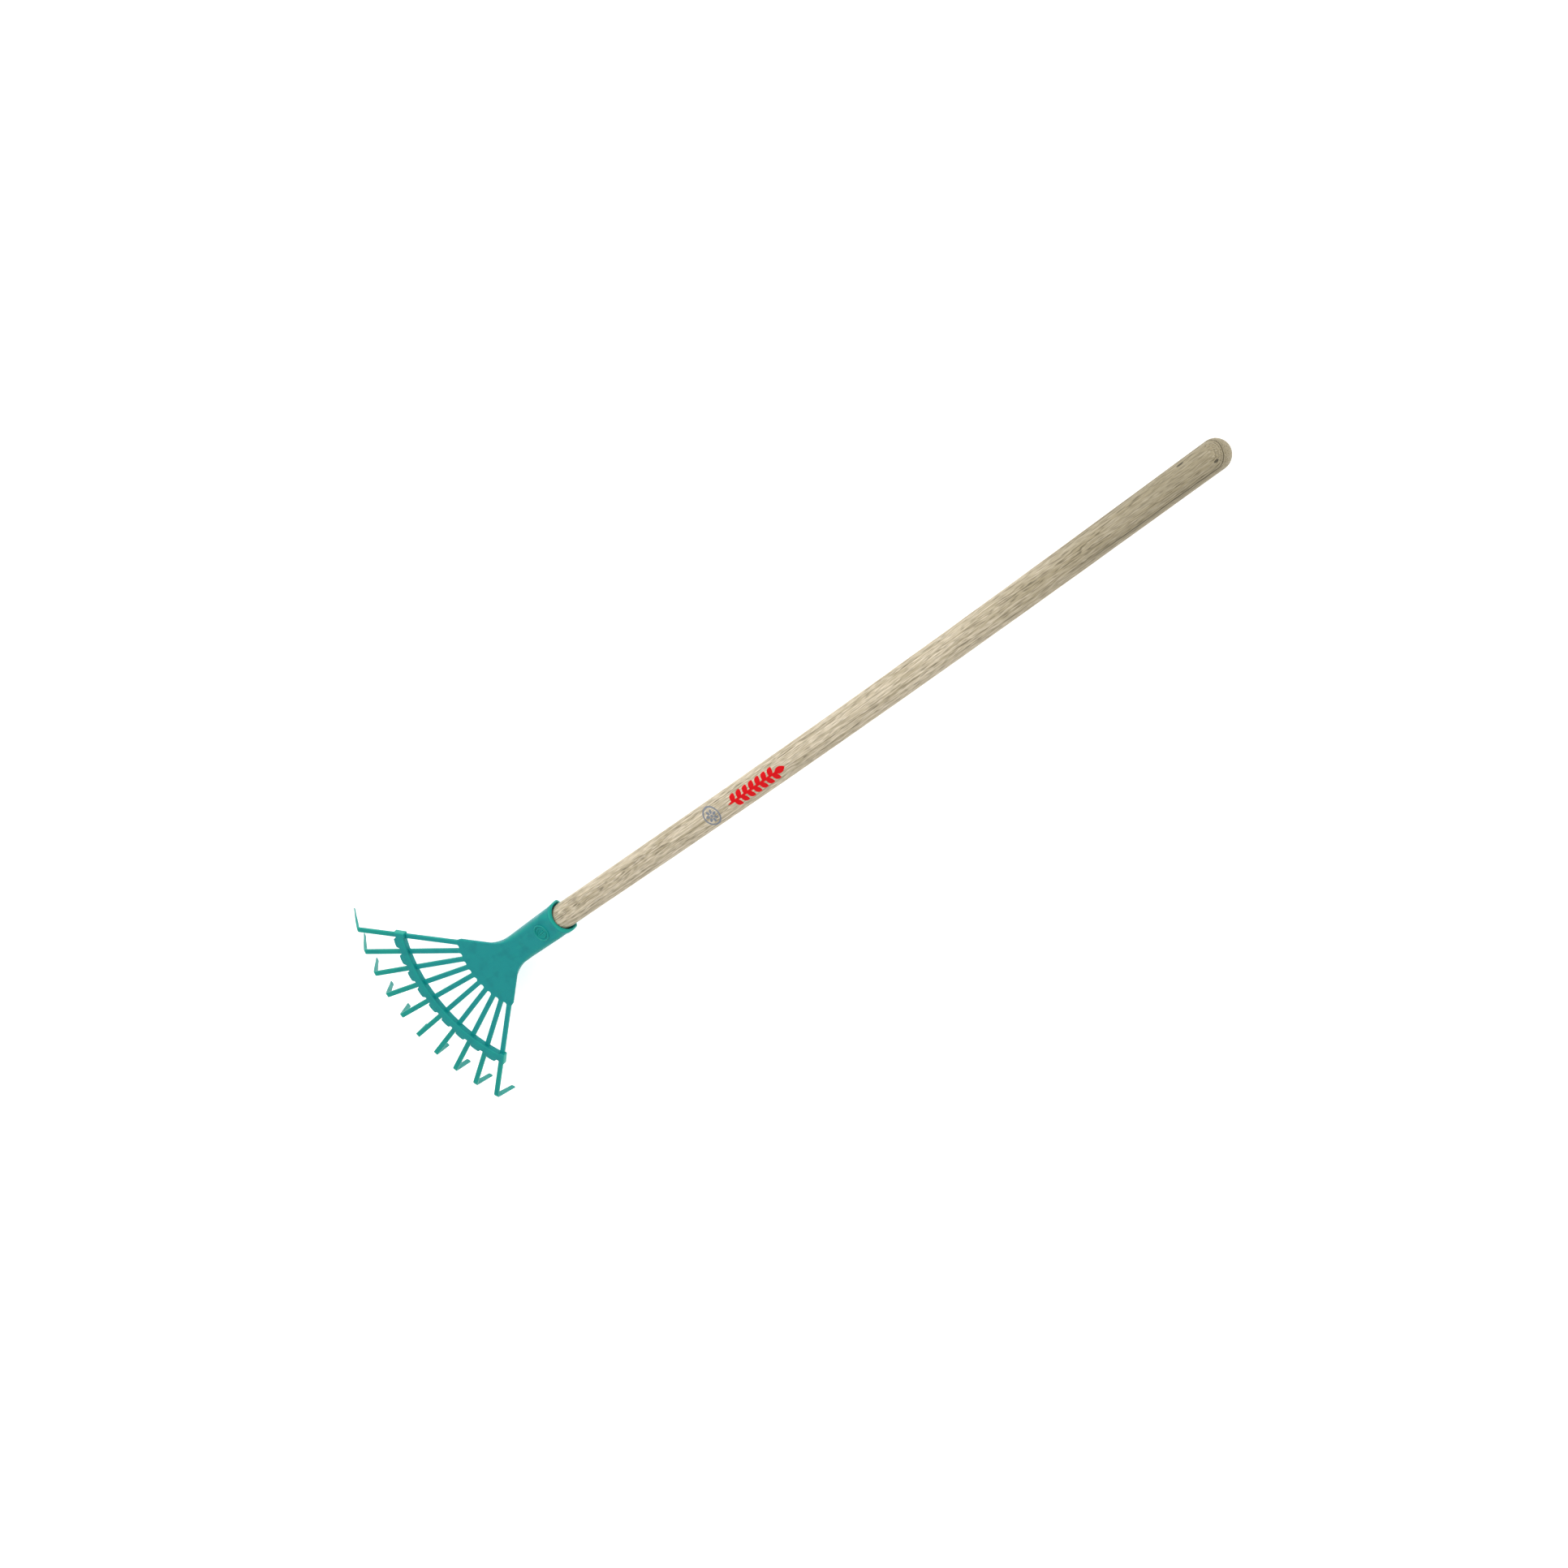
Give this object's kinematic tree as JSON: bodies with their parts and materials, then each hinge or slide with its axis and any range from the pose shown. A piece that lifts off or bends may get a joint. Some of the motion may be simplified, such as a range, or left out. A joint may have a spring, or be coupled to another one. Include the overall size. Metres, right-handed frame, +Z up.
{
  "type": "leaf rake",
  "caption": "Child-size leaf rake: plastic fan head with flat hooked tines tied by a curved cross brace, on a straight round wooden handle with a domed grip end.",
  "frame": {"origin": "on the ground under the middle of the overall length and width, with the rake lying hooks down", "axes": "+X along the handle towards the grip end, +Y towards tine_01, +Z up"},
  "size_m": [0.9147, 0.1959, 0.0319],
  "materials": {
    "head_plastic": "teal moulded polypropylene, satin, slightly grained",
    "handle_wood": "pale planed hardwood dowel, unvarnished, fine straight grain",
    "screw_steel": "zinc-plated"
  },
  "bodies": {
    "rake": {"handle": "handle_wood", "socket": "head_plastic", "fixing_screw": "screw_steel", "fan_plate": "head_plastic", "cross_brace": "head_plastic", "tine_root_01": "head_plastic", "tine_root_02": "head_plastic", "tine_root_03": "head_plastic", "tine_root_04": "head_plastic", "tine_root_05": "head_plastic", "tine_root_06": "head_plastic", "tine_root_07": "head_plastic", "tine_root_08": "head_plastic", "tine_root_09": "head_plastic", "tine_root_10": "head_plastic"},
    "tine_01": {"spring_tine_01": "head_plastic"},
    "tine_02": {"spring_tine_02": "head_plastic"},
    "tine_03": {"spring_tine_03": "head_plastic"},
    "tine_04": {"spring_tine_04": "head_plastic"},
    "tine_05": {"spring_tine_05": "head_plastic"},
    "tine_06": {"spring_tine_06": "head_plastic"},
    "tine_07": {"spring_tine_07": "head_plastic"},
    "tine_08": {"spring_tine_08": "head_plastic"},
    "tine_09": {"spring_tine_09": "head_plastic"},
    "tine_10": {"spring_tine_10": "head_plastic"}
  },
  "joints": [
    {"name": "tine_01_flex", "type": "hinge", "parent": "rake", "child": "tine_01", "pos_m": [-0.38126, 0.06531, 0.02803], "axis": [0.562, 0.8271, -0.0068], "range_deg": [-8, 10], "stiffness_Nm_per_rad": 0.8},
    {"name": "tine_02_flex", "type": "hinge", "parent": "rake", "child": "tine_02", "pos_m": [-0.38906, 0.05203, 0.02813], "axis": [0.4477, 0.8942, -0.0054], "range_deg": [-8, 10], "stiffness_Nm_per_rad": 0.8},
    {"name": "tine_03_flex", "type": "hinge", "parent": "rake", "child": "tine_03", "pos_m": [-0.39503, 0.03783, 0.0282], "axis": [0.3255, 0.9455, -0.0039], "range_deg": [-8, 10], "stiffness_Nm_per_rad": 0.8},
    {"name": "tine_04_flex", "type": "hinge", "parent": "rake", "child": "tine_04", "pos_m": [-0.39906, 0.02297, 0.02825], "axis": [0.1976, 0.9803, -0.0024], "range_deg": [-8, 10], "stiffness_Nm_per_rad": 0.8},
    {"name": "tine_05_flex", "type": "hinge", "parent": "rake", "child": "tine_05", "pos_m": [-0.4011, 0.0077, 0.02827], "axis": [0.0663, 0.9978, -0.0008], "range_deg": [-8, 10], "stiffness_Nm_per_rad": 0.8},
    {"name": "tine_06_flex", "type": "hinge", "parent": "rake", "child": "tine_06", "pos_m": [-0.4011, -0.0077, 0.02827], "axis": [-0.0663, 0.9978, 0.0008], "range_deg": [-8, 10], "stiffness_Nm_per_rad": 0.8},
    {"name": "tine_07_flex", "type": "hinge", "parent": "rake", "child": "tine_07", "pos_m": [-0.39906, -0.02297, 0.02825], "axis": [-0.1976, 0.9803, 0.0024], "range_deg": [-8, 10], "stiffness_Nm_per_rad": 0.8},
    {"name": "tine_08_flex", "type": "hinge", "parent": "rake", "child": "tine_08", "pos_m": [-0.39503, -0.03783, 0.0282], "axis": [-0.3255, 0.9455, 0.0039], "range_deg": [-8, 10], "stiffness_Nm_per_rad": 0.8},
    {"name": "tine_09_flex", "type": "hinge", "parent": "rake", "child": "tine_09", "pos_m": [-0.38906, -0.05203, 0.02813], "axis": [-0.4477, 0.8942, 0.0054], "range_deg": [-8, 10], "stiffness_Nm_per_rad": 0.8},
    {"name": "tine_10_flex", "type": "hinge", "parent": "rake", "child": "tine_10", "pos_m": [-0.38126, -0.06531, 0.02803], "axis": [-0.562, 0.8271, 0.0068], "range_deg": [-8, 10], "stiffness_Nm_per_rad": 0.8}
  ]
}
